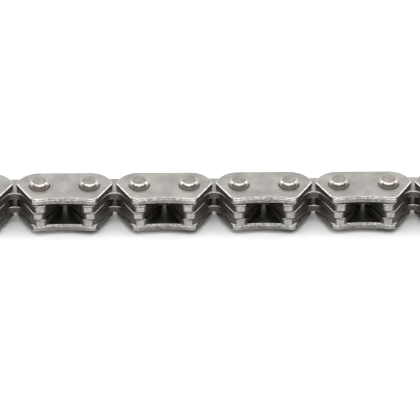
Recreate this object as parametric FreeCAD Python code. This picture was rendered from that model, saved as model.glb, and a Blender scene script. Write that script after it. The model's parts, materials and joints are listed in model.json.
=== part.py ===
"""Silent (inverted-tooth) timing chain: an open run of thirteen pitches with round pins.

Two kinds of link alternate along the run.  A guide link carries two pins, pressed
into a guide plate at each side and into one toothed centre plate.  An inner link
is two toothed plates that turn freely on the pins of the guide links beside it.
Both ends of the run are inner links, so each end offers an open pin bore.

The run lies on its side.  X follows the chain, +Y is its smooth back, -Y is its
toothed side and Z follows the pins.  The origin is under the middle of the run.
"""

import FreeCAD
import Part

import math
import os

from FreeCAD import Vector

# Driving dimensions, in millimetres and degrees.
PITCH = 6.35                # pin to pin
GUIDE_LINKS = 6             # the inner links are one more
BACK_HEIGHT = 3.02          # pitch line to the back edge of a plate
TOOTH_DEPTH = 3.57          # pitch line to the crown of a tooth
GUIDE_DEPTH = 3.44          # pitch line to the toothed-side corners of a guide plate
END_GAP = 0.38              # nose to nose between plates of one layer
NOSE_HEIGHT = 0.42          # pitch line to the nose, the widest point of a plate
SHOULDER_RADIUS = 2.90      # from the back edge round to the nose
FLANK_ANGLE = 29.4          # outer flank from square to the pitch line
TIP_WIDTH = 1.42            # across a tooth at its corners
TIP_CROWN = 0.22            # rise of the rounded tooth end between its corners
CROTCH_DEPTH = 0.42         # pitch line down to the top of the crotch
CROTCH_RADIUS = 1.30        # arch between the two teeth
GUIDE_HOLLOW = 0.45         # hollow of the guide plate's toothed-side edge
NOSE_RADIUS = 0.30          # plate ends, where the shoulder meets the flank
TIP_RADIUS = 0.40           # corners of a tooth
GUIDE_CORNER_RADIUS = 1.10  # toothed-side corners of a guide plate
PLATE_THICKNESS = 0.91      # toothed plates
GUIDE_THICKNESS = 0.80      # guide plates
SIDE_CLEARANCE = 0.12       # between neighbouring layers
PIN_DIAMETER = 2.50
PIN_CLEARANCE = 0.03        # radial, where an inner link turns on a pin
PIN_STAND_OUT = 0.77        # pin end beyond the guide plate
PIN_DOME_RADIUS = 14.0      # the pin ends are very slightly domed
PIN_END_RADIUS = 0.36       # rounding of the rim of a pin end
ROLLED_EDGE = 0.17          # rounding that the punch leaves along its entry side

# Sizes that follow from them.
HALF_LENGTH = PITCH - END_GAP / 2
NOSE = Vector(HALF_LENGTH, NOSE_HEIGHT, 0)
PIN_RADIUS = PIN_DIAMETER / 2
LAYER_STEP = PLATE_THICKNESS + SIDE_CLEARANCE
LOWER_GUIDE_Z = PIN_STAND_OUT
LAYER_Z = [
    LOWER_GUIDE_Z + GUIDE_THICKNESS + SIDE_CLEARANCE + i * LAYER_STEP for i in range(3)
]
UPPER_GUIDE_Z = LAYER_Z[-1] + LAYER_STEP
PIN_LENGTH = UPPER_GUIDE_Z + GUIDE_THICKNESS + PIN_STAND_OUT
PITCH_LINE_Y = (TOOTH_DEPTH - BACK_HEIGHT) / 2


def line(start, end):
    return Part.LineSegment(start, end).toShape()


def arc(start, middle, end):
    return Part.Arc(start, middle, end).toShape()


def mirrored(point):
    return Vector(-point.x, point.y, point.z)


def flank_point(depth):
    """Where the right outer flank lies, this far below the pitch line."""
    slope = math.tan(math.radians(FLANK_ANGLE))
    return NOSE + Vector(-(NOSE.y + depth) * slope, -(NOSE.y + depth), 0)


def back_edges():
    """The back edge and both round shoulders, from the left nose to the right one."""
    nose = NOSE
    centre_y = BACK_HEIGHT - SHOULDER_RADIUS
    reach = math.sqrt(SHOULDER_RADIUS**2 - (NOSE_HEIGHT - centre_y) ** 2)
    centre = Vector(HALF_LENGTH - reach, centre_y, 0)
    top = Vector(centre.x, BACK_HEIGHT, 0)
    half_turn = math.atan2(reach, NOSE_HEIGHT - centre_y) / 2
    middle = centre + Vector(math.sin(half_turn), math.cos(half_turn), 0) * SHOULDER_RADIUS
    return [
        arc(mirrored(nose), mirrored(middle), mirrored(top)),
        line(mirrored(top), top),
        arc(top, middle, nose),
    ]


def crotch_tangent(corner):
    """Where a line from the tooth's inner corner touches the crotch arch."""
    centre = Vector(0, -CROTCH_DEPTH - CROTCH_RADIUS, 0)
    away = corner - centre
    turn = math.acos(CROTCH_RADIUS / away.Length)
    angle = math.atan2(away.y, away.x) + turn
    return centre + Vector(math.cos(angle), math.sin(angle), 0) * CROTCH_RADIUS


def tooth_points():
    """Outer corner, crown and inner corner of the right tooth, then its crotch tangent."""
    outer = flank_point(TOOTH_DEPTH - TIP_CROWN)
    inner = outer - Vector(TIP_WIDTH, 0, 0)
    crown = Vector((outer.x + inner.x) / 2, -TOOTH_DEPTH, 0)
    return outer, crown, inner, crotch_tangent(inner)


def toothed_outline():
    outer, crown, inner, tangent = tooth_points()
    arch = Vector(0, -CROTCH_DEPTH, 0)
    edges = back_edges()
    edges += [
        line(NOSE, outer),
        arc(outer, crown, inner),
        line(inner, tangent),
        arc(tangent, arch, mirrored(tangent)),
        line(mirrored(tangent), mirrored(inner)),
        arc(mirrored(inner), mirrored(crown), mirrored(outer)),
        line(mirrored(outer), mirrored(NOSE)),
    ]
    return Part.Wire(edges)


def guide_outline():
    corner = flank_point(GUIDE_DEPTH)
    hollow = Vector(0, GUIDE_HOLLOW - GUIDE_DEPTH, 0)
    edges = back_edges()
    edges += [
        line(NOSE, corner),
        arc(corner, hollow, mirrored(corner)),
        line(mirrored(corner), mirrored(NOSE)),
    ]
    return Part.Wire(edges)


def with_rounded_corners(solid, points, radius):
    """Rounds the upright edges that stand at these points and at their mirror images."""
    wanted = points + [mirrored(p) for p in points]
    edges = []
    for edge in solid.Edges:
        ends = [v.Point for v in edge.Vertexes]
        upright = len(ends) == 2 and math.hypot(ends[0].x - ends[1].x, ends[0].y - ends[1].y) < 1e-6
        if upright and any(math.hypot(ends[0].x - p.x, ends[0].y - p.y) < 1e-4 for p in wanted):
            edges.append(edge)
    return solid.makeFillet(radius, edges)


def with_rolled_edges(solid, thickness):
    """Rounds the outline and the holes on the upper face, where the punch went in."""
    top = [f for f in solid.Faces if abs(f.CenterOfMass.z - thickness) < 1e-6]
    return solid.makeFillet(ROLLED_EDGE, top[0].Edges)


def pin_holes(radius, thickness):
    drill = Part.makeCylinder(radius, 3 * thickness, Vector(PITCH / 2, 0, -thickness))
    return [drill, drill.mirror(Vector(0, 0, 0), Vector(1, 0, 0))]


def plate(outline, thickness, hole_radius, corners):
    """A punched plate on z = 0, centred on its link, with its pitch line on y = 0."""
    solid = Part.Face(outline).extrude(Vector(0, 0, thickness))
    for points, radius in corners:
        solid = with_rounded_corners(solid, points, radius)
    for hole in pin_holes(hole_radius, thickness):
        solid = solid.cut(hole)
    return with_rolled_edges(solid.Solids[0], thickness)


def toothed_plate(hole_radius):
    outer, _, inner, _ = tooth_points()
    corners = [([NOSE], NOSE_RADIUS), ([outer, inner], TIP_RADIUS)]
    return plate(toothed_outline(), PLATE_THICKNESS, hole_radius, corners)


def guide_plate():
    corners = [([NOSE], NOSE_RADIUS), ([flank_point(GUIDE_DEPTH)], GUIDE_CORNER_RADIUS)]
    return plate(guide_outline(), GUIDE_THICKNESS, PIN_RADIUS, corners)


def pin():
    """A round pin with barely domed ends and well rounded rims, standing on z = 0."""
    rim_x = PIN_RADIUS - PIN_END_RADIUS
    inner_radius = PIN_DOME_RADIUS - PIN_END_RADIUS
    rim_z = PIN_DOME_RADIUS - math.sqrt(inner_radius**2 - rim_x**2)
    lean = math.asin(rim_x / inner_radius)
    half_lean, half_way = lean / 2, (lean + math.pi / 2) / 2

    def dome(angle):
        return Vector(math.sin(angle), 0, 1 - math.cos(angle)) * PIN_DOME_RADIUS

    def rim(angle):
        return Vector(rim_x, 0, rim_z) + Vector(math.sin(angle), 0, -math.cos(angle)) * PIN_END_RADIUS

    def at_head(point):
        return Vector(point.x, 0, PIN_LENGTH - point.z)

    foot, rim_start, wall = Vector(0, 0, 0), dome(lean), rim(math.pi / 2)
    profile = [
        arc(foot, dome(half_lean), rim_start),
        arc(rim_start, rim(half_way), wall),
        line(wall, at_head(wall)),
        arc(at_head(wall), at_head(rim(half_way)), at_head(rim_start)),
        arc(at_head(rim_start), at_head(dome(half_lean)), at_head(foot)),
        line(at_head(foot), foot),
    ]
    return Part.Face(Part.Wire(profile)).revolve(Vector(0, 0, 0), Vector(0, 0, 1), 360)


def placed(solid, x, z):
    """A copy of a piece at this place along the chain and this height."""
    copy = solid.copy()
    copy.translate(Vector(x, PITCH_LINE_Y, z))
    return copy


def export(solid, name):
    solid.exportStep(os.path.join("parts", name + ".step"))


def inner_links():
    """Two toothed plates a link, in the outer two of the three toothed layers."""
    turning_plate = toothed_plate(PIN_RADIUS + PIN_CLEARANCE)
    for i in range(GUIDE_LINKS + 1):
        x = (2 * i - GUIDE_LINKS) * PITCH
        link = f"inner_link_{i + 1}"
        export(placed(turning_plate, x, LAYER_Z[0]), link + "_lower_plate")
        export(placed(turning_plate, x, LAYER_Z[2]), link + "_upper_plate")


def guide_links():
    """Two guide plates, a toothed centre plate and two pins a link."""
    guide = guide_plate()
    centre_plate = toothed_plate(PIN_RADIUS)
    one_pin = pin()
    for i in range(GUIDE_LINKS):
        x = (2 * i + 1 - GUIDE_LINKS) * PITCH
        link = f"guide_link_{i + 1}"
        export(placed(guide, x, LOWER_GUIDE_Z), link + "_lower_guide_plate")
        export(placed(centre_plate, x, LAYER_Z[1]), link + "_centre_plate")
        export(placed(guide, x, UPPER_GUIDE_Z), link + "_upper_guide_plate")
        export(placed(one_pin, x - PITCH / 2, 0), link + "_left_pin")
        export(placed(one_pin, x + PITCH / 2, 0), link + "_right_pin")


os.makedirs("parts", exist_ok=True)
inner_links()
guide_links()
print(f"plates {2 * HALF_LENGTH:.2f} long, pins {PIN_LENGTH:.2f} long")
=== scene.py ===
"""Silent timing chain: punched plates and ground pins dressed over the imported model.

A plate is traced as an outline and filled, its corners are rounded, and it is made
thick.  Its upper rim is rolled, where the punch entered, and its lower rim is broken.
Between them the wall is cut above and torn below.  The two bores come last.
Shapes are traced in millimetres and set down in metres.
"""

import json
import math

import bmesh
import bpy
from mathutils import Matrix, Vector


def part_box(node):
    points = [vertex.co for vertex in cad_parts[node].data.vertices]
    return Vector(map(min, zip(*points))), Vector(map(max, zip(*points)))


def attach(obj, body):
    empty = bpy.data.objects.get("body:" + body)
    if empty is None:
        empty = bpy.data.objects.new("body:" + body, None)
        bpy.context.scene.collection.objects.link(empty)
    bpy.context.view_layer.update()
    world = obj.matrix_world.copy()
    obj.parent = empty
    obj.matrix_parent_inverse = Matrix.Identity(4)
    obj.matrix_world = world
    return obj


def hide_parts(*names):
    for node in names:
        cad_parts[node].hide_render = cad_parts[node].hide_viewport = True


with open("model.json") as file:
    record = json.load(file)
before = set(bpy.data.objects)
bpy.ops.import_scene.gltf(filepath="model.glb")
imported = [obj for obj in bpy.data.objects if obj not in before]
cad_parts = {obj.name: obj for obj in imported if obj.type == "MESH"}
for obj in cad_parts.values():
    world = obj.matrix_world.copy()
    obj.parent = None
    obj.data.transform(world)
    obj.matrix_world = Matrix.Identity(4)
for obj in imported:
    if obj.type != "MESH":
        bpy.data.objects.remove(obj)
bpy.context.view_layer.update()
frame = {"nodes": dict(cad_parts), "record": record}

bl_info = {
    "name": "Silent timing chain",
    "version": (1, 0, 0),
    "blender": (4, 5, 0),
    "location": "3D View > Sidebar > Chain",
    "description": "Builds the plates, pins and studio of a short run of silent timing chain",
    "category": "Add Mesh",
}

MM = 0.001
BODIES = frame["record"]["behaviour"]["bodies"]
JOINTS = frame["record"]["behaviour"]["joints"]
PIN_XS = sorted(joint["pos_m"][0] / MM for joint in JOINTS)
PITCH = PIN_XS[1] - PIN_XS[0]
PITCH_LINE_Y = JOINTS[0]["pos_m"][1] / MM


def node_names(ending):
    """The nodes whose names end so, from one end of the chain to the other."""
    return sorted(n for n in frame["nodes"] if n.endswith(ending))


def node_box(node):
    """Lowest and highest corner of a node, in millimetres."""
    low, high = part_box(node)
    return Vector(low) / MM, Vector(high) / MM


INNER_PLATES = node_names("_lower_plate") + node_names("_upper_plate")
CENTRE_PLATES = node_names("_centre_plate")
GUIDE_PLATES = node_names("_guide_plate")
PINS = node_names("_pin")
PLATE_LOW, PLATE_HIGH = node_box(INNER_PLATES[0])
GUIDE_LOW, GUIDE_HIGH = node_box(GUIDE_PLATES[0])
PIN_LOW, PIN_HIGH = node_box(PINS[0])
MIDDLE_LAYER_Z = (PIN_LOW.z + PIN_HIGH.z) / 2
GUIDE_TOP = max(node_box(node)[1].z for node in GUIDE_PLATES)


# Sizes and colours that a user may change.

def length(name, description, default_mm):
    """A length in metres whose default is written in millimetres."""
    return bpy.props.FloatProperty(
        name=name, description=description, default=default_mm * MM, min=0.0,
        precision=5, subtype="DISTANCE", unit="LENGTH")


def angle(name, description, default_degrees):
    """An angle whose default is written in degrees."""
    return bpy.props.FloatProperty(
        name=name, description=description, default=math.radians(default_degrees),
        subtype="ANGLE", unit="ROTATION")


def linear(hex_colour):
    """An sRGB hex value such as "a9a8a4" as linear red, green and blue, by the sRGB curve."""
    channels = [int(hex_colour[i:i + 2], 16) / 255 for i in (0, 2, 4)]
    return tuple(
        value / 12.92 if value <= 0.04045 else ((value + 0.055) / 1.055) ** 2.4
        for value in channels)


def colour(name, description, hex_default):
    """A colour whose default is written as an sRGB hex value."""
    return bpy.props.FloatVectorProperty(
        name=name, description=description, default=linear(hex_default),
        subtype="COLOR", size=3, min=0.0, max=1.0)


class ChainPlateSizes(bpy.types.PropertyGroup):
    """Outlines and bores of the plates, and the pins that go through them"""
    back_height: length(
        "Back height", "Pitch line to the back edge", PLATE_HIGH.y - PITCH_LINE_Y)
    tooth_depth: length(
        "Tooth depth", "Pitch line to the crown of a tooth", PITCH_LINE_Y - PLATE_LOW.y)
    guide_depth: length(
        "Guide depth", "Pitch line to a guide plate's toothed-side corners", 3.44)
    half_length: length(
        "Half length", "Middle of a plate to its nose", (PLATE_HIGH.x - PLATE_LOW.x) / 2)
    nose_height: length("Nose height", "Pitch line to the nose", 0.42)
    shoulder_radius: length("Shoulder radius", "From the back edge round to the nose", 2.90)
    flank_angle: angle("Flank angle", "Outer flank from square to the pitch line", 29.4)
    tip_width: length("Tip width", "Across a tooth at its corners", 1.42)
    tip_crown: length("Tip crown", "Rise of the rounded tooth end", 0.22)
    crotch_depth: length("Crotch depth", "Pitch line to the top of the crotch", 0.42)
    crotch_radius: length("Crotch radius", "Arch between the two teeth", 1.30)
    guide_hollow: length("Guide hollow", "Hollow of a guide plate's toothed-side edge", 0.45)
    nose_radius: length("Nose radius", "Rounding of the noses", 0.30)
    tip_radius: length("Tip radius", "Rounding of the tooth corners", 0.40)
    guide_corner_radius: length(
        "Guide corner radius", "Rounding of a guide plate's corners", 1.10)
    pin_radius: length("Pin radius", "Radius of the pins and of their tight bores", 1.25)
    pin_clearance: length("Pin clearance", "Radial play where an inner link turns", 0.03)


class ChainEdgeSizes(bpy.types.PropertyGroup):
    """Rims and walls that the punch leaves, and the ends of the pins"""
    rolled_edge: length("Rolled edge", "Rounding left where the punch entered", 0.23)
    bore_edge: length("Bore edge", "Rounding round the mouth of a bore", 0.2)
    torn_share: bpy.props.FloatProperty(
        name="Torn share", description="Share of a wall that tore instead of being cut",
        default=0.62, min=0.05, max=0.8, subtype="FACTOR")
    torn_set_back: length(
        "Torn set-back", "How far the torn part of a wall leans in", 0.015)
    lower_edge: length("Lower edge", "Tumbled rounding of the lower edge", 0.03)
    pin_rim: length("Pin rim", "Width of the rounded chamfer round a pin end", 0.31)
    pin_rim_start: angle("Pin rim start", "Slope of the chamfer at the end face", 36)
    pin_rim_end: angle("Pin rim end", "Slope of the chamfer at the side", 66)
    pin_dome: length("Pin dome", "Radius of the slight dome of a pin end", 14.0)


class ChainColours(bpy.types.PropertyGroup):
    """Colours of the steels and of the studio floor"""
    plate_steel: colour("Plate steel", "Tumbled spring steel", "cac8c4")
    guide_steel: colour("Guide steel", "Tumbled spring steel of the guide plates", "cecbc6")
    # Dark steel: hardening oxide where nothing wears, and painted shade in the recesses and round
    # the pins.
    dark_steel: colour("Dark steel", "Walls that nothing wears: hardening oxide, with painted shade in the recesses", "57534a")
    # Painted shade on the sides of the plates that face each other.
    inner_shade_steel: colour("Inner steel", "Sides of the plates that face each other, darkened as painted shade", "85827b")
    torn_steel: colour("Torn steel", "Wall of a plate where the punch tore it", "807e7a")
    # Polished steel of worn walls, also a painted highlight towards a guide plate's corners.
    rubbed_and_highlit_steel: colour("Rubbed and highlit steel", "The same wall where use has polished it, with a painted highlight", "9e9c98")
    nicked_steel: colour("Nicked steel", "Rolled rim of a plate, nicked in the tumbler", "b4b2ac")
    pin_steel: colour("Pin steel", "Ground and polished pin steel", "cac3ba")
    # The side of a pin is darker than its ends.
    pin_side_steel: colour("Pin side", "Darker colour on the side of a pin", "968e86")
    floor: colour("Floor", "Studio floor", "dedede")


def plate_sizes():
    return bpy.context.scene.chain_plate_sizes


def edge_sizes():
    return bpy.context.scene.chain_edge_sizes


def colours():
    return bpy.context.scene.chain_colours


# Tracing an outline, as by hand.

ACROSS, ALONG_Y, UP = Vector((1, 0, 0)), Vector((0, 1, 0)), Vector((0, 0, 1))
WELD_MM = 0.002        # points nearer than this become one
SAME_PLACE_MM = 0.001  # points nearer than this are at the same place

# How many straight steps an arc takes.
SHOULDER_STEPS, CROWN_STEPS, ARCH_STEPS, HOLLOW_STEPS = 18, 6, 16, 14
MOUTH_STEPS, DOME_STEPS, PIN_RIM_STEPS, FULL_TURN_STEPS = 6, 5, 9, 64
CORNER_STEPS, ROLLED_RIM_STEPS, LOWER_RIM_STEPS = 5, 5, 2


def start_trace(name, point):
    """A mesh of one vertex at this point, in edit mode and ready to be drawn on."""
    bpy.ops.object.select_all(action="DESELECT")
    bpy.ops.mesh.primitive_plane_add(size=1, location=point)
    bpy.context.object.name = name
    bpy.ops.object.transform_apply(location=True)
    bpy.ops.object.mode_set(mode="EDIT")
    bpy.ops.mesh.select_mode(type="VERT")
    bpy.ops.mesh.merge(type="CENTER")


def line_to(start, end):
    """Carries the drawn end straight on."""
    bpy.ops.mesh.extrude_region_move(TRANSFORM_OT_translate={"value": end - start})


def arc_to(start, end, centre, steps, axis=UP):
    """Carries the drawn end the short way round a centre."""
    before, after = start - centre, end - centre
    sweep = math.copysign(before.angle(after), axis.dot(before.cross(after)))
    bpy.ops.mesh.spin(steps=steps, angle=-sweep, center=centre, axis=axis)


def edit_mesh():
    return bmesh.from_edit_mesh(bpy.context.object.data)


def select(mode, wanted):
    """Selects the vertices, edges or faces for which wanted() is true, and no others."""
    bpy.ops.mesh.select_mode(type=mode)
    bpy.ops.mesh.select_all(action="DESELECT")
    mesh = edit_mesh()
    kinds = {"VERT": mesh.verts, "EDGE": mesh.edges, "FACE": mesh.faces}
    for element in kinds[mode]:
        if wanted(element):
            element.select_set(True)
    mesh.select_flush_mode()
    bmesh.update_edit_mesh(bpy.context.object.data)


def close_trace():
    """Joins the drawn end to the start and fills the outline."""
    bpy.ops.mesh.select_all(action="SELECT")
    bpy.ops.mesh.remove_doubles(threshold=WELD_MM)
    bpy.ops.mesh.edge_face_add()
    bpy.ops.mesh.normals_make_consistent(inside=False)


def mirrored(point):
    """The same place on the other half of a plate."""
    return Vector((-point.x, point.y, point.z))


class Outline:
    """The corners and arc centres that both kinds of plate share, in millimetres."""

    def __init__(self, z):
        sizes = plate_sizes()
        radius = sizes.shoulder_radius / MM
        back = sizes.back_height / MM
        self.slope = math.tan(sizes.flank_angle)
        self.nose = Vector((sizes.half_length / MM, sizes.nose_height / MM, z))
        reach = math.sqrt(radius**2 - (self.nose.y - back + radius) ** 2)
        self.shoulder = Vector((self.nose.x - reach, back - radius, z))
        self.top = Vector((self.shoulder.x, back, z))

    def flank(self, depth):
        """Where the right outer flank lies, this far below the pitch line."""
        drop = self.nose.y + depth
        return self.nose - Vector((drop * self.slope, drop, 0))

    def trace_back(self, name):
        """Starts the outline with its back edge and its right shoulder."""
        start_trace(name, mirrored(self.top))
        line_to(mirrored(self.top), self.top)
        arc_to(self.top, self.nose, self.shoulder, SHOULDER_STEPS)

    def trace_home(self):
        """Ends the outline with its left shoulder."""
        start, end, centre = (mirrored(p) for p in (self.nose, self.top, self.shoulder))
        arc_to(start, end, centre, SHOULDER_STEPS)
        close_trace()


def trace_toothed(z):
    """The outline of a plate with two teeth.  Returns its corners and their radii."""
    sizes = plate_sizes()
    outline = Outline(z)
    depth, crown = sizes.tooth_depth / MM, sizes.tip_crown / MM
    width, arch = sizes.tip_width / MM, sizes.crotch_radius / MM
    outer = outline.flank(depth - crown)
    inner = outer - Vector((width, 0, 0))
    crown_radius = (width**2 / 4 + crown**2) / (2 * crown)
    crown_centre = Vector(((outer.x + inner.x) / 2, crown_radius - depth, z))
    crotch = Vector((0, -sizes.crotch_depth / MM - arch, z))
    away = inner - crotch
    bearing = math.atan2(away.y, away.x) + math.acos(arch / away.length)
    tangent = crotch + Vector((math.cos(bearing), math.sin(bearing), 0)) * arch

    outline.trace_back("toothed plate")
    line_to(outline.nose, outer)
    arc_to(outer, inner, crown_centre, CROWN_STEPS)
    line_to(inner, tangent)
    arc_to(tangent, mirrored(tangent), crotch, ARCH_STEPS)
    line_to(mirrored(tangent), mirrored(inner))
    arc_to(mirrored(inner), mirrored(outer), mirrored(crown_centre), CROWN_STEPS)
    line_to(mirrored(outer), mirrored(outline.nose))
    outline.trace_home()
    return [
        (outline.nose, sizes.nose_radius), (outer, sizes.tip_radius), (inner, sizes.tip_radius)]


# The rounded corner of a guide plate takes up this first stretch of the hollow.
HOLLOW_START = math.radians(4)


def trace_guide(z):
    """The outline of a plain guide plate.  Returns its corners and their radii."""
    sizes = plate_sizes()
    outline = Outline(z)
    corner = outline.flank(sizes.guide_depth / MM)
    rise = sizes.guide_hollow / MM
    radius = (corner.x**2 + rise**2) / (2 * rise)
    hollow = Vector((0, corner.y + rise - radius, z))
    inner = hollow + Matrix.Rotation(HOLLOW_START, 3, "Z") @ (corner - hollow)

    outline.trace_back("guide plate")
    line_to(outline.nose, corner)
    line_to(corner, inner)
    arc_to(inner, mirrored(inner), hollow, HOLLOW_STEPS)
    line_to(mirrored(inner), mirrored(corner))
    line_to(mirrored(corner), mirrored(outline.nose))
    outline.trace_home()
    return [(outline.nose, sizes.nose_radius), (corner, sizes.guide_corner_radius)]


# From a flat outline to a punched plate.

DOWNWARD = -0.9     # a face whose normal has less Z than this is the lower side
DRILL_PROUD = 0.002  # the mouth of a bore starts this far above the plate, in millimetres
DRILL_OVERRUN = 1.0  # and the drill goes this far past both of its sides
PLATE_SMOOTHING = math.radians(28)


def round_corners(corners):
    """Rounds the corners of the flat outline, and of its other half."""
    for point, radius in corners:
        for place in (point, mirrored(point)):
            mesh = edit_mesh()
            vertex = min(mesh.verts, key=lambda v: (v.co - place).length)
            arms = [e.other_vert(vertex).co - vertex.co for e in vertex.link_edges]
            tangent = radius / MM / math.tan(arms[0].angle(arms[1]) / 2)
            select("VERT", lambda v: (v.co - place).length < SAME_PLACE_MM)
            bpy.ops.mesh.bevel(
                affect="VERTICES", offset=tangent, offset_type="OFFSET",
                segments=CORNER_STEPS, clamp_overlap=False)


def thicken(thickness, torn_height):
    """Gives the outline its cut wall above and its torn, leaning wall below."""
    bpy.ops.mesh.select_mode(type="FACE")
    bpy.ops.mesh.select_all(action="SELECT")
    bpy.ops.mesh.extrude_region_move(
        TRANSFORM_OT_translate={"value": (0, 0, thickness - torn_height)})
    bpy.ops.mesh.select_all(action="SELECT")
    bpy.ops.mesh.normals_make_consistent(inside=False)
    select("FACE", lambda f: f.normal.z < DOWNWARD)
    bpy.ops.mesh.inset(thickness=edge_sizes().torn_set_back / MM, depth=torn_height)


def finish_rims(thickness):
    """Rolls the upper rim, where the punch entered, and breaks the lower one."""
    sizes = edge_sizes()
    rims = (
        (thickness, sizes.rolled_edge, ROLLED_RIM_STEPS), (0.0, sizes.lower_edge, LOWER_RIM_STEPS))
    for level, radius, segments in rims:
        select("EDGE", lambda e: all(abs(v.co.z - level) < SAME_PLACE_MM for v in e.verts))
        bpy.ops.mesh.bevel(
            offset=radius / MM, offset_type="OFFSET", segments=segments, clamp_overlap=False)


def turn(centre):
    """Turns the drawn profile once round an upright axis and closes it into a solid."""
    bpy.ops.mesh.select_all(action="SELECT")
    bpy.ops.mesh.spin(steps=FULL_TURN_STEPS, angle=2 * math.pi, center=centre, axis=UP)
    bpy.ops.mesh.select_all(action="SELECT")
    bpy.ops.mesh.remove_doubles(threshold=WELD_MM)
    bpy.ops.mesh.normals_make_consistent(inside=False)
    bpy.ops.object.mode_set(mode="OBJECT")
    return bpy.context.object


def turned_drill(x, radius, thickness):
    """A cutter that leaves a rounded mouth above and a broken edge below."""
    mouth, foot = edge_sizes().bore_edge / MM, edge_sizes().lower_edge / MM
    mouth_top, drill_top = thickness + DRILL_PROUD, thickness + DRILL_OVERRUN

    def at(r, z):
        return Vector((x + r, 0, z))

    corners = [
        at(0, -DRILL_OVERRUN), at(radius + 2 * foot, -DRILL_OVERRUN),
        at(radius + 2 * foot, -foot), at(radius, foot), at(radius, mouth_top - mouth)]
    start_trace("drill", corners[0])
    for start, end in zip(corners, corners[1:]):
        line_to(start, end)
    rim = at(radius + mouth, mouth_top)
    arc_to(corners[-1], rim, at(radius + mouth, mouth_top - mouth), MOUTH_STEPS, ALONG_Y)
    line_to(rim, at(radius + mouth, drill_top))
    line_to(at(radius + mouth, drill_top), at(0, drill_top))
    return turn(at(0, 0))


def bore(radius, thickness):
    """Cuts both pin holes."""
    plate = bpy.context.object
    bpy.ops.object.mode_set(mode="OBJECT")
    for x in (-PITCH / 2, PITCH / 2):
        drill = turned_drill(x, radius, thickness)
        bpy.ops.object.select_all(action="DESELECT")
        bpy.context.view_layer.objects.active = plate
        plate.select_set(True)
        cut = plate.modifiers.new("bore", "BOOLEAN")
        cut.object, cut.operation, cut.solver = drill, "DIFFERENCE", "EXACT"
        bpy.ops.object.modifier_apply(modifier=cut.name)
        bpy.data.objects.remove(drill)


# Which steel goes where on a plate.  A plate's five material slots are:
FACE, DARK_WALL, TORN_WALL, RIM, INNER_SIDE = range(5)

# Faces are told apart by how far their normals lean.
WALL_SIDEWAYS = 0.94  # more of a wall's normal than this lies across Z
RIM_SIDEWAYS = 0.25   # and more of a rolled rim's than this
# The steep part of a bore's mouth gets dark steel: a painted shade ring round the pin.
MOUTH_LEVEL = 0.75    # a bore's mouth is dark where its normal has less Z than this
SIDE_LEVEL = 0.97     # a flat side's normal has more Z than this

# A wall is worn, and out in the light, on the back and shoulders, this many millimetres above the
# nose and more.
BACK_WORN_AND_LIT_ABOVE_NOSE = 0.9
# It is worn and lit on the toothed side past this share of the guide depth, where this share of
# its lean or more is towards -Y.  All other walls get dark steel: hardening oxide, with painted
# shade in the flanks, crotches and noses.
TOOTH_WORN_AND_LIT_SHARE = 0.8
TOOTH_WORN_AND_LIT_FACING = 0.9

# Where the toothed-side walls start to shine and where they shine fully, in millimetres
# off the middle of a plate: polished by use, and towards a guide plate's corners also a painted
# highlight.  The shine rises slowly and then faster, by this power.
TOOTH_SHINE = (0.0, 0.1)
GUIDE_SHINE = (1.8, 3.5)
SHINE_POWER = 1.5


def paint_walls(torn_height, shine_start, shine_full):
    """Gives dark steel to the walls that nothing wears and to the steep mouths of the bores:
    hardening oxide, with painted shade in the recesses and round the pins.  Gives torn steel to
    the torn walls that are worn and lit, and rim steel to the rims and to the cut walls that are
    worn and lit.

    The toothed side shines more from one distance off the middle of the plate to another: polished
    by use, and towards a guide plate's corners also a painted highlight.
    """
    plate = bpy.context.object.data
    sizes = plate_sizes()
    back_worn_and_lit = sizes.nose_height / MM + BACK_WORN_AND_LIT_ABOVE_NOSE
    tooth_worn_and_lit = -TOOTH_WORN_AND_LIT_SHARE * sizes.guide_depth / MM
    mouth = (sizes.pin_radius + sizes.pin_clearance + edge_sizes().bore_edge) / MM
    for face in plate.polygons:
        x, y, up = abs(face.center.x), face.center.y, face.normal.z
        sideways = math.hypot(face.normal.x, face.normal.y)
        toothed_side = face.normal.y < -TOOTH_WORN_AND_LIT_FACING * sideways
        worn_and_lit = y > back_worn_and_lit or (y < tooth_worn_and_lit and toothed_side)
        # The steep mouth of a bore is dark steel: painted shade round the pin.
        if math.hypot(x - PITCH / 2, y) < mouth:
            face.material_index = DARK_WALL if up < MOUTH_LEVEL else FACE
        # A wall that nothing wears is dark steel: hardening oxide, with painted shade in the
        # flanks, crotches and noses.
        elif sideways > WALL_SIDEWAYS and not worn_and_lit:
            face.material_index = DARK_WALL
        elif sideways > WALL_SIDEWAYS:
            face.material_index = RIM if face.center.z > torn_height else TORN_WALL
        elif sideways > RIM_SIDEWAYS and up > 0:
            face.material_index = RIM
    # The shine brightens the torn walls: wear, and towards a guide plate's corners a painted
    # highlight.
    shine = plate.attributes.new("shine", "FLOAT", "POINT")
    for vertex, value in zip(plate.vertices, shine.data):
        share = (abs(vertex.co.x) - shine_start) / (shine_full - shine_start)
        value.value = 1.0 if vertex.co.y > 0 else min(max(share, 0.0), 1.0) ** SHINE_POWER


def punched_plate(trace, thickness, bore_radius, steels, shine):
    """One plate, its pitch line on y = 0 and its lower side on z = 0, in millimetres."""
    torn_height = thickness * edge_sizes().torn_share
    corners = trace(torn_height)
    round_corners(corners)
    thicken(thickness, torn_height)
    finish_rims(thickness)
    bore(bore_radius, thickness)
    plate = bpy.context.object
    for steel in steels:
        plate.data.materials.append(steel)
    paint_walls(torn_height, *shine)
    bpy.ops.object.shade_smooth_by_angle(angle=PLATE_SMOOTHING)
    even = plate.modifiers.new("even shading", "WEIGHTED_NORMAL")
    even.keep_sharp = True
    bpy.ops.object.modifier_apply(modifier=even.name)
    return plate


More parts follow.
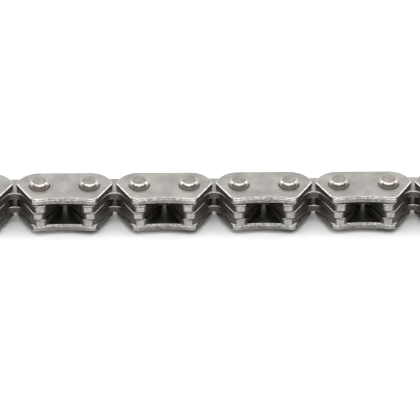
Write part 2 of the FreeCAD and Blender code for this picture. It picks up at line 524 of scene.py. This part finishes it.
def set_down(pattern, node, place):
    """A copy of a pattern in place of one node, on that node's body."""
    piece = pattern.copy()
    piece.data = pattern.data.copy()
    piece.name = "dressed_" + node
    bpy.context.collection.objects.link(piece)
    piece.data.transform(Matrix.Scale(MM, 4) @ Matrix.Translation(place))
    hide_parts(node)
    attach(piece, next(body for body, nodes in BODIES.items() if node in nodes))
    return piece


def set_down_plates(pattern, nodes):
    """Sets the plates down, with darker steel, a painted shade, on the sides that face the middle
    layer.
    """
    for node in nodes:
        low, high = node_box(node)
        place = Vector(((low.x + high.x) / 2, PITCH_LINE_Y, low.z))
        plate = set_down(pattern, node, place)
        for face in plate.data.polygons:
            # The sides that face the middle layer are darkened: painted shade between the plates.
            inner_top = face.normal.z > SIDE_LEVEL and low.z < MIDDLE_LAYER_Z
            inner_bottom = face.normal.z < -SIDE_LEVEL and high.z > MIDDLE_LAYER_Z
            if inner_top or inner_bottom:
                face.material_index = INNER_SIDE
    bpy.data.objects.remove(pattern)


# Steels.

# Sizes of their patterns, in millimetres.  Clouds are drawn at their real size.
CLOUDS = 2.2
# The wear of tumbling, the haze of a polish, the drag lines of a punch and the grain of
# a torn edge are hundredths of a millimetre across.  That is too fine to show, so they
# are drawn this coarse.
WEAR, HAZE, DRAG_LINES, GRAIN = 0.9, 0.8, 0.5, 0.35
DRAG_LINE_STRETCH = 0.12  # their width as a share of their height

# A plate's face has a painted sheen that brightens it towards the toothed side, from the first of
# these Y to the second, in millimetres, up to this many times its colour.
PAINTED_SHEEN_START, PAINTED_SHEEN_END, PAINTED_SHEEN_GAIN = -1.2, -4.2, 1.32

# Sockets of a Mix node that mixes colours.
MIX_FACTOR, MIX_FROM, MIX_TO, MIX_RESULT = 0, 6, 7, 2


def per_mm(size):
    """The texture scale that makes a feature this many millimetres across."""
    return 1 / (size * MM)


def scaled(rgb, factor):
    """A colour made darker or lighter."""
    return tuple(min(channel * factor, 1.0) for channel in rgb)


def add_node(tree, kind, inputs=None, stops=(), **settings):
    """Adds a node with its settings, its inputs by name or number, and a ramp's stops.

    An input that is a node or a socket is linked, and any other is a value.
    """
    node = tree.nodes.new(kind)
    for name, value in settings.items():
        setattr(node, name, value)
    for key, value in (inputs or {}).items():
        socket = node.inputs[key]
        if isinstance(value, bpy.types.Node):
            tree.links.new(value.outputs[0], socket)
        elif isinstance(value, bpy.types.NodeSocket):
            tree.links.new(value, socket)
        else:
            socket.default_value = value
    if stops:
        elements = node.color_ramp.elements
        while len(elements) < len(stops):
            elements.new(0.5)
        for element, (position, rgb) in zip(elements, stops):
            element.position, element.color = position, (*rgb, 1.0)
    return node


def material_of(name, surface, *steels):
    """The material of this name, with this surface unless it was made before."""
    material = bpy.data.materials.get(name)
    if material is None:
        material = bpy.data.materials.new(name)
        material.use_nodes = True
        tree = material.node_tree
        tree.nodes.clear()
        add_node(tree, "ShaderNodeOutputMaterial", {"Surface": surface(tree, *steels)})
    return material


def tumbled_steel(tree, steel):
    """Spring steel strip, hardened and then tumbled with stones until it is satin.

    It gives the eye an even grey sheen with faint clouds, a painted sheen that makes it a little
    brighter towards the teeth, and no sharp reflections.
    """
    place = add_node(tree, "ShaderNodeTexCoord").outputs["Object"]
    clouds = add_node(
        tree, "ShaderNodeTexNoise", {"Vector": place, "Scale": per_mm(CLOUDS), "Detail": 2.0})
    wear = add_node(
        tree, "ShaderNodeTexNoise", {"Vector": place, "Scale": per_mm(WEAR), "Detail": 3.0})
    tint = add_node(
        tree, "ShaderNodeValToRGB", {"Fac": clouds},
        stops=((0.35, scaled(steel, 0.86)), (0.65, scaled(steel, 1.14))))
    sheen = add_node(tree, "ShaderNodeMapRange", {
        "Value": wear, "From Min": 0.3, "From Max": 0.7, "To Min": 0.34, "To Max": 0.46})
    relief = add_node(
        tree, "ShaderNodeBump", {"Strength": 0.05, "Distance": 0.02 * MM, "Height": wear})
    # Painted sheen: the face is brightened towards the teeth.
    side = add_node(tree, "ShaderNodeSeparateXYZ", {"Vector": place}).outputs["Y"]
    painted_sheen = add_node(tree, "ShaderNodeMapRange", {
        "Value": side, "From Min": PAINTED_SHEEN_START * MM, "From Max": PAINTED_SHEEN_END * MM,
        "To Min": 1.0, "To Max": PAINTED_SHEEN_GAIN}, interpolation_type="SMOOTHSTEP")
    brightened = add_node(
        tree, "ShaderNodeVectorMath", {"Vector": tint, "Scale": painted_sheen}, operation="SCALE")
    return add_node(tree, "ShaderNodeBsdfPrincipled", {
        "Base Color": brightened, "Metallic": 1.0, "Roughness": sheen, "Normal": relief})


def darkened_steel(tree, steel):
    """Dark steel for the plate walls that nothing wears and for the sides of the pins.  On the
    plates it is the thin dark oxide of hardening, with painted shade in the recesses; on the pins
    it only makes the side darker.

    It gives the eye a dark brownish grey, smooth and half metallic, with faint upright
    drag lines that the punch or the grinding left.
    """
    place = add_node(tree, "ShaderNodeTexCoord").outputs["Object"]
    upright = add_node(
        tree, "ShaderNodeMapping", {"Vector": place, "Scale": (1.0, 1.0, DRAG_LINE_STRETCH)})
    lines = add_node(
        tree, "ShaderNodeTexNoise",
        {"Vector": upright, "Scale": per_mm(DRAG_LINES), "Detail": 2.0})
    tint = add_node(
        tree, "ShaderNodeValToRGB", {"Fac": lines},
        stops=((0.3, scaled(steel, 0.92)), (0.7, scaled(steel, 1.05))))
    relief = add_node(
        tree, "ShaderNodeBump", {"Strength": 0.02, "Distance": 0.02 * MM, "Height": lines})
    return add_node(tree, "ShaderNodeBsdfPrincipled", {
        "Base Color": tint, "Metallic": 0.5, "Roughness": 0.3, "Normal": relief})


def torn_steel(tree, steel, brightened):
    """The edge of a punched plate, where the steel tore off the strip or was nicked.

    It gives the eye a dull and grainy grey, and bright nicks where use has polished it and,
    towards a guide plate's corners, a painted highlight.
    """
    place = add_node(tree, "ShaderNodeTexCoord").outputs["Object"]
    # Shine: wear, and a painted highlight towards the guide plates' corners.
    shine = add_node(tree, "ShaderNodeAttribute", attribute_name="shine").outputs["Fac"]
    grain = add_node(
        tree, "ShaderNodeTexNoise", {"Vector": place, "Scale": per_mm(GRAIN), "Detail": 3.0})
    dull = add_node(
        tree, "ShaderNodeValToRGB", {"Fac": grain},
        stops=((0.35, scaled(steel, 0.6)), (0.65, scaled(steel, 1.5))))
    bright = add_node(
        tree, "ShaderNodeValToRGB", {"Fac": grain},
        stops=((0.35, scaled(brightened, 0.8)), (0.65, scaled(brightened, 1.25))))
    tint = add_node(
        tree, "ShaderNodeMix", {MIX_FACTOR: shine, MIX_FROM: dull, MIX_TO: bright},
        data_type="RGBA").outputs[MIX_RESULT]
    sheen = add_node(
        tree, "ShaderNodeMapRange", {"Value": shine, "To Min": 0.42, "To Max": 0.24})
    relief = add_node(
        tree, "ShaderNodeBump", {"Strength": 0.3, "Distance": 0.03 * MM, "Height": grain})
    return add_node(tree, "ShaderNodeBsdfPrincipled", {
        "Base Color": tint, "Metallic": 1.0, "Roughness": sheen, "Normal": relief})


def polished_steel(tree, steel):
    """Hardened pin steel, ground round and polished at its ends.

    It gives the eye a warm, bright metal with clear reflections, clouded by a faint haze.
    """
    place = add_node(tree, "ShaderNodeTexCoord").outputs["Object"]
    haze = add_node(
        tree, "ShaderNodeTexNoise", {"Vector": place, "Scale": per_mm(HAZE), "Detail": 2.0})
    sheen = add_node(tree, "ShaderNodeMapRange", {
        "Value": haze, "From Min": 0.3, "From Max": 0.7, "To Min": 0.18, "To Max": 0.24})
    tint = add_node(
        tree, "ShaderNodeValToRGB", {"Fac": haze},
        stops=((0.35, scaled(steel, 0.86)), (0.65, scaled(steel, 1.14))))
    return add_node(tree, "ShaderNodeBsdfPrincipled", {
        "Base Color": tint, "Metallic": 1.0, "Roughness": sheen})


def plate_steels(kind, face_colour, rim_colour):
    """The steels of a plate, in the order of its slots."""
    steel = colours()
    return [
        material_of(kind + " tumbled spring steel", tumbled_steel, face_colour),
        # Dark walls: hardening oxide, with painted shade in the recesses.
        material_of(kind + " dark edge of oxide and painted shade", darkened_steel, steel.dark_steel),
        material_of(kind + " torn cut edge", torn_steel, steel.torn_steel, steel.rubbed_and_highlit_steel),
        material_of(kind + " nicked rim", torn_steel, steel.nicked_steel, rim_colour),
        # Sides that face the middle layer: painted shade.
        material_of(kind + " inner side in painted shade", tumbled_steel, steel.inner_shade_steel),
    ]


# The pieces.

def toothed_pattern(bore_radius):
    """The plate with two teeth that all toothed plates with such bores are copied from."""
    steels = plate_steels("Toothed plate", colours().plate_steel, colours().rubbed_and_highlit_steel)
    thickness = PLATE_HIGH.z - PLATE_LOW.z
    return punched_plate(trace_toothed, thickness, bore_radius, steels, TOOTH_SHINE)


class CHAIN_OT_inner_plates(bpy.types.Operator):
    """Make the toothed plates of the inner links, which turn on their pins"""
    bl_idname = "chain.inner_plates"
    bl_label = "Inner toothed plates"

    def execute(self, context):
        sizes = plate_sizes()
        pattern = toothed_pattern((sizes.pin_radius + sizes.pin_clearance) / MM)
        set_down_plates(pattern, INNER_PLATES)
        return {"FINISHED"}


class CHAIN_OT_centre_plates(bpy.types.Operator):
    """Make the toothed centre plates of the guide links, pressed on their pins"""
    bl_idname = "chain.centre_plates"
    bl_label = "Centre toothed plates"

    def execute(self, context):
        pattern = toothed_pattern(plate_sizes().pin_radius / MM)
        set_down_plates(pattern, CENTRE_PLATES)
        return {"FINISHED"}


class CHAIN_OT_guide_plates(bpy.types.Operator):
    """Make the plain guide plates that hold the pins at both sides of the chain"""
    bl_idname = "chain.guide_plates"
    bl_label = "Guide plates"

    def execute(self, context):
        steels = plate_steels("Guide plate", colours().guide_steel, colours().guide_steel)
        thickness, bore_radius = GUIDE_HIGH.z - GUIDE_LOW.z, plate_sizes().pin_radius / MM
        pattern = punched_plate(trace_guide, thickness, bore_radius, steels, GUIDE_SHINE)
        set_down_plates(pattern, GUIDE_PLATES)
        return {"FINISHED"}


PIN_SMOOTHING = math.radians(15)
PIN_SIDE_LEVEL = 0.2  # on the side of a pin the normals have less Z than this
PIN_END_SLOT, PIN_SIDE_SLOT = 0, 1


def turned_pin():
    """A pin that stands on z = 0, with domed ends and a rounded chamfer round each."""
    sizes = edge_sizes()
    radius = plate_sizes().pin_radius / MM
    height = PIN_HIGH.z - PIN_LOW.z
    rim_x, dome = radius - sizes.pin_rim / MM, sizes.pin_dome / MM
    start, end = sizes.pin_rim_start, sizes.pin_rim_end
    rim = sizes.pin_rim / MM / (math.sin(end) - math.sin(start))
    foot, dome_centre = Vector((0, 0, 0)), Vector((0, 0, dome))
    rim_start = Vector((rim_x, 0, dome - math.sqrt(dome**2 - rim_x**2)))
    rim_centre = rim_start + Vector((-math.sin(start), 0, math.cos(start))) * rim
    wall = rim_centre + Vector((math.sin(end), 0, -math.cos(end))) * rim

    def at_head(point):
        return Vector((point.x, 0, height - point.z))

    start_trace("pin", foot)
    arc_to(foot, rim_start, dome_centre, DOME_STEPS, ALONG_Y)
    arc_to(rim_start, wall, rim_centre, PIN_RIM_STEPS, ALONG_Y)
    line_to(wall, at_head(wall))
    arc_to(at_head(wall), at_head(rim_start), at_head(rim_centre), PIN_RIM_STEPS, ALONG_Y)
    arc_to(at_head(rim_start), at_head(foot), at_head(dome_centre), DOME_STEPS, ALONG_Y)
    return turn(foot)


class CHAIN_OT_pins(bpy.types.Operator):
    """Make the round pins with their rounded and slightly domed ends"""
    bl_idname = "chain.pins"
    bl_label = "Pins"

    def execute(self, context):
        pattern = turned_pin()
        bpy.ops.object.shade_smooth_by_angle(angle=PIN_SMOOTHING)
        steels = pattern.data.materials
        steels.append(
            material_of("Pin ground and polished steel", polished_steel, colours().pin_steel))
        # The side of each pin is made darker than its ends.
        steels.append(
            material_of("Pin darker side", darkened_steel, colours().pin_side_steel))
        for face in pattern.data.polygons:
            on_side = abs(face.normal.z) < PIN_SIDE_LEVEL
            face.material_index = PIN_SIDE_SLOT if on_side else PIN_END_SLOT
        for node in PINS:
            low, high = node_box(node)
            place = Vector(((low.x + high.x) / 2, (low.y + high.y) / 2, low.z))
            set_down(pattern, node, place)
        bpy.data.objects.remove(pattern)
        return {"FINISHED"}


# The studio.

VIEW_ELEVATION = math.radians(34)
VIEW_TURN = math.radians(-0.59)
FIELD_WIDTH = 53.46          # how much of the chain the camera takes in, in millimetres
LENS, SENSOR = 300.0, 36.0
CLIP_START, CLIP_END = 0.01, 10
# How far the camera aims left of and below the middle of the upper guide plates.
AIM_LEFT, AIM_DOWN = 0.52, 3.24
# How bright the room is, by how far a direction goes along this axis, which leans up
# and to the back: 0 is square to the axis and 1 is along it.
ROOM_AXIS = (0, 0.83, 0.56)
ROOM_LEVELS = (
    (0.0, 0.15), (0.2, 0.4), (0.4, 0.7), (0.56, 0.85), (0.8, 0.85), (0.93, 0.72), (1.0, 0.64))
FLOOR_RADIUS, FLOOR_CORNERS = 1.2, 96
FLOOR_SEEN = 1.3             # how pale the floor is where it is seen directly
# Lamps by name, with their place, width and depth in metres, and their radiance.
SOFTBOXES = {
    "Overhead softbox": ((0, -0.15, 0.45), 0.90, 0.36, 1.5),
    "Front softbox": ((0, -0.62, 0.66), 0.50, 0.30, 1.1),
    "Left softbox": ((-0.42, 0.20, 0.30), 0.30, 0.36, 1.2),
    "Right softbox": ((0.42, 0.20, 0.30), 0.30, 0.36, 1.2),
}


def matt_paper(tree):
    """Background paper, matt from its mill, with no pattern that shows.

    It gives the eye a plain white, paler where it is seen directly, in a reflection or
    through something, and its own colour in the light that it throws on the chain.
    """
    light_path = add_node(tree, "ShaderNodeLightPath").outputs
    reflected = add_node(
        tree, "ShaderNodeMath",
        {0: light_path["Is Glossy Ray"], 1: light_path["Is Transmission Ray"]},
        operation="MAXIMUM")
    seen = add_node(
        tree, "ShaderNodeMath", {0: light_path["Is Camera Ray"], 1: reflected},
        operation="MAXIMUM")
    direct = add_node(
        tree, "ShaderNodeMath", {0: light_path["Diffuse Depth"], 1: 1.0},
        operation="LESS_THAN")
    shown = add_node(tree, "ShaderNodeMath", {0: seen, 1: direct}, operation="MULTIPLY")
    tint = add_node(
        tree, "ShaderNodeMapRange",
        {"Value": shown, "To Min": colours().floor[0], "To Max": FLOOR_SEEN})
    return add_node(tree, "ShaderNodeBsdfDiffuse", {"Color": tint})


class CHAIN_OT_stage(bpy.types.Operator):
    """Make the pale floor, the soft light and the camera"""
    bl_idname = "chain.stage"
    bl_label = "Floor, light and camera"

    def execute(self, context):
        bpy.ops.object.select_all(action="DESELECT")
        bpy.ops.mesh.primitive_circle_add(
            vertices=FLOOR_CORNERS, radius=FLOOR_RADIUS, fill_type="NGON")
        floor = context.object
        floor.name = "studio_floor"
        floor.data.materials.append(material_of("Matt white paper", matt_paper))
        self.white_surroundings(context)
        for name, lamp in SOFTBOXES.items():
            self.softbox(context, name, *lamp)
        self.camera(context)
        context.scene.view_settings.view_transform = "Standard"
        return {"FINISHED"}

    def white_surroundings(self, context):
        """A white room, dim behind the camera and softer where the plate faces mirror it."""
        world = bpy.data.worlds.new("White studio")
        context.scene.world = world
        world.use_nodes = True
        tree = world.node_tree
        direction = add_node(tree, "ShaderNodeTexCoord").outputs["Generated"]
        towards = add_node(
            tree, "ShaderNodeVectorMath", {0: direction, 1: ROOM_AXIS}, operation="DOT_PRODUCT")
        level = add_node(
            tree, "ShaderNodeValToRGB", {"Fac": towards.outputs["Value"]},
            stops=[(share, (value, value, value)) for share, value in ROOM_LEVELS])
        tree.links.new(level.outputs[0], tree.nodes["Background"].inputs["Color"])

    def softbox(self, context, name, place, width, depth, level):
        """A square-edged lamp of this radiance, facing the chain."""
        light = bpy.data.lights.new(name, "AREA")
        light.shape = "RECTANGLE"
        light.size, light.size_y = width, depth
        light.energy = level * math.pi * width * depth
        lamp = bpy.data.objects.new(name, light)
        lamp.location = place
        lamp.rotation_euler = Vector(place).to_track_quat("Z", "Y").to_euler()
        context.collection.objects.link(lamp)

    def camera(self, context):
        """A long lens on the toothed side, looking down on the chain."""
        data = bpy.data.cameras.new("Camera")
        data.lens, data.sensor_width = LENS, SENSOR
        data.clip_start, data.clip_end = CLIP_START, CLIP_END
        camera = bpy.data.objects.new("Camera", data)
        context.collection.objects.link(camera)
        away = Vector((
            math.sin(VIEW_TURN) * math.cos(VIEW_ELEVATION),
            -math.cos(VIEW_TURN) * math.cos(VIEW_ELEVATION),
            math.sin(VIEW_ELEVATION)))
        facing = (-away).to_track_quat("-Z", "Y")
        right, up = facing @ ACROSS, facing @ ALONG_Y
        anchor = Vector((0, PITCH_LINE_Y, GUIDE_TOP))
        aim = anchor - right * AIM_LEFT - up * AIM_DOWN
        distance = FIELD_WIDTH * LENS / SENSOR
        camera.location = (aim + away * distance) * MM
        camera.rotation_euler = facing.to_euler()
        context.scene.camera = camera


class CHAIN_PT_panel(bpy.types.Panel):
    """Lists the pieces, sizes and colours of the chain in the sidebar"""
    bl_idname = "CHAIN_PT_panel"
    bl_label = "Silent chain"
    bl_space_type = "VIEW_3D"
    bl_region_type = "UI"
    bl_category = "Chain"

    def draw(self, context):
        for operator in STEPS:
            self.layout.operator(operator.bl_idname)
        for group_name, group in GROUPS.items():
            box = self.layout.box()
            for name in group.__annotations__:
                box.prop(getattr(context.scene, group_name), name)


STEPS = (
    CHAIN_OT_inner_plates,
    CHAIN_OT_centre_plates,
    CHAIN_OT_guide_plates,
    CHAIN_OT_pins,
    CHAIN_OT_stage,
)
GROUPS = {
    "chain_plate_sizes": ChainPlateSizes,
    "chain_edge_sizes": ChainEdgeSizes,
    "chain_colours": ChainColours,
}


def register():
    for kind in (*GROUPS.values(), *STEPS, CHAIN_PT_panel):
        bpy.utils.register_class(kind)
    for name, group in GROUPS.items():
        setattr(bpy.types.Scene, name, bpy.props.PointerProperty(type=group))


def unregister():
    for name in GROUPS:
        delattr(bpy.types.Scene, name)
    for kind in (*GROUPS.values(), *STEPS, CHAIN_PT_panel):
        bpy.utils.unregister_class(kind)


def main():
    register()
    bpy.ops.chain.inner_plates()
    bpy.ops.chain.centre_plates()
    bpy.ops.chain.guide_plates()
    bpy.ops.chain.pins()
    bpy.ops.chain.stage()


if __name__ == "__main__":
    main()
